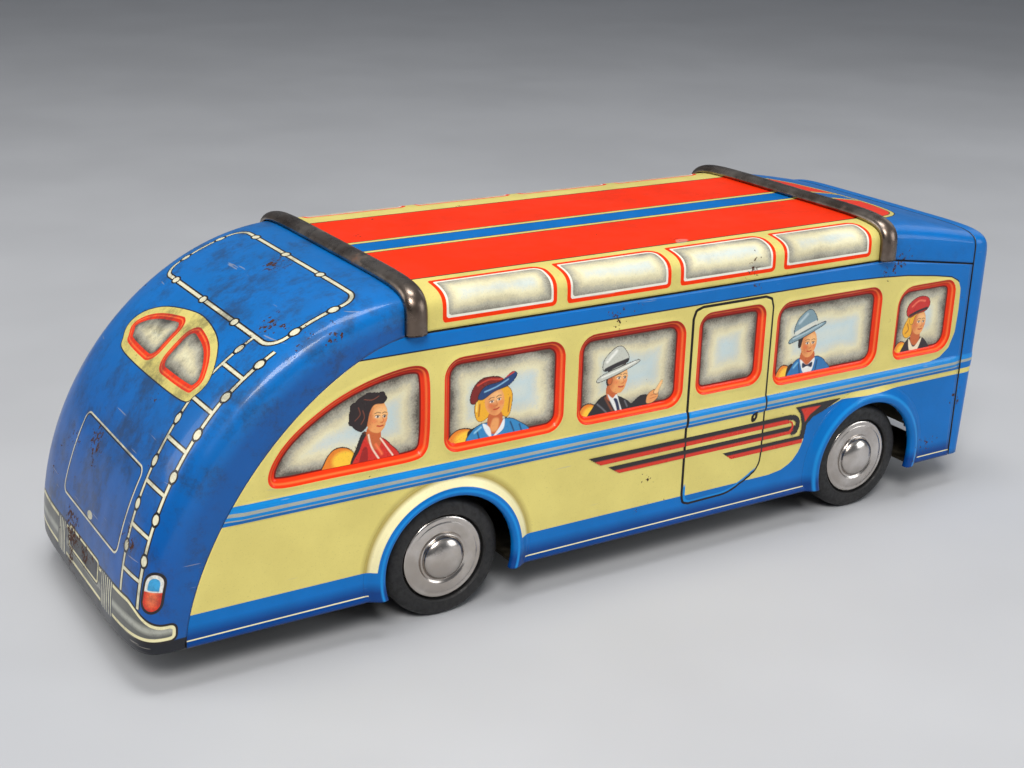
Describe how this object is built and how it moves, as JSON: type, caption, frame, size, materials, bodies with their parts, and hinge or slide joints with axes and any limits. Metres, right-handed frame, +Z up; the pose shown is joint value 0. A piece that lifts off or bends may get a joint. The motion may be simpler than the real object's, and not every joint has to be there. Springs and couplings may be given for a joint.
{
  "type": "tin toy coach",
  "caption": "Printed tinplate toy coach with a streamlined back, roof bands, rubber-tyred wheels and a geared flywheel drive on the rear axle.",
  "frame": {"origin": "on the ground, under the middle of the body", "axes": "+X forward to the nose, +Y to the coach's left side, +Z up"},
  "size_m": [0.2417, 0.0814, 0.0808],
  "materials": {
    "printed_tin_side": "gloss offset print on tinplate, cream and blue",
    "printed_tin_blue": "gloss blue print on tinplate, fine scratches",
    "printed_tin_roof": "gloss orange-red and cream print on tinplate",
    "nickel_band": "nickel plated, dulled and spotted with rust",
    "nickel_cap": "nickel plated, light tarnish",
    "plain_tin": "bare tinplate, dull",
    "bright_steel": "drawn steel wire",
    "black_rubber": "old black rubber, slightly dusty",
    "brass_gear": "stamped brass",
    "flywheel_iron": "dull grey"
  },
  "bodies": {
    "coach_body": {"side_panel_right": "printed_tin_side", "side_panel_left": "printed_tin_side", "rear_shell": "printed_tin_blue", "roof_panel": "printed_tin_roof", "front_roof": "printed_tin_blue", "nose_shell": "printed_tin_blue", "roof_band_rear": "nickel_band", "roof_band_front": "nickel_band", "base_plate": "plain_tin", "front_axle_bracket": "plain_tin", "motor_plate_right": "plain_tin", "motor_plate_left": "plain_tin", "motor_post_rear": "bright_steel", "motor_post_front": "bright_steel", "motor_post_top": "bright_steel"},
    "front_wheels": {"front_axle": "bright_steel", "tyre_front_right": "black_rubber", "tyre_front_left": "black_rubber", "hubcap_front_right": "nickel_cap", "hubcap_front_left": "nickel_cap", "wheel_core_front_right": "plain_tin", "wheel_core_front_left": "plain_tin"},
    "rear_wheels": {"rear_axle": "bright_steel", "tyre_rear_right": "black_rubber", "tyre_rear_left": "black_rubber", "hubcap_rear_right": "nickel_cap", "hubcap_rear_left": "nickel_cap", "wheel_core_rear_right": "plain_tin", "wheel_core_rear_left": "plain_tin", "axle_gear": "brass_gear"},
    "layshaft_set": {"layshaft": "bright_steel", "layshaft_pinion": "brass_gear", "layshaft_gear": "brass_gear"},
    "flywheel_set": {"flywheel_shaft": "bright_steel", "flywheel_pinion": "brass_gear", "flywheel_right": "flywheel_iron", "flywheel_left": "flywheel_iron"}
  },
  "joints": [
    {"name": "front_axle_spin", "type": "hinge", "parent": "coach_body", "child": "front_wheels", "pos_m": [0.0771, 0, 0.0145], "axis": [0, 1, 0], "continuous": true},
    {"name": "rear_axle_spin", "type": "hinge", "parent": "coach_body", "child": "rear_wheels", "pos_m": [-0.0489, 0, 0.0145], "axis": [0, 1, 0], "continuous": true},
    {"name": "layshaft_spin", "type": "hinge", "parent": "coach_body", "child": "layshaft_set", "pos_m": [-0.04091, 0, 0.02052], "axis": [0, 1, 0], "continuous": true},
    {"name": "flywheel_spin", "type": "hinge", "parent": "coach_body", "child": "flywheel_set", "pos_m": [-0.03174, 0, 0.02451], "axis": [0, 1, 0], "continuous": true}
  ],
  "couplings": [
    {"joint": "layshaft_spin", "follows": "flywheel_spin", "ratio": -0.33333},
    {"joint": "rear_axle_spin", "follows": "flywheel_spin", "ratio": 0.11111}
  ]
}
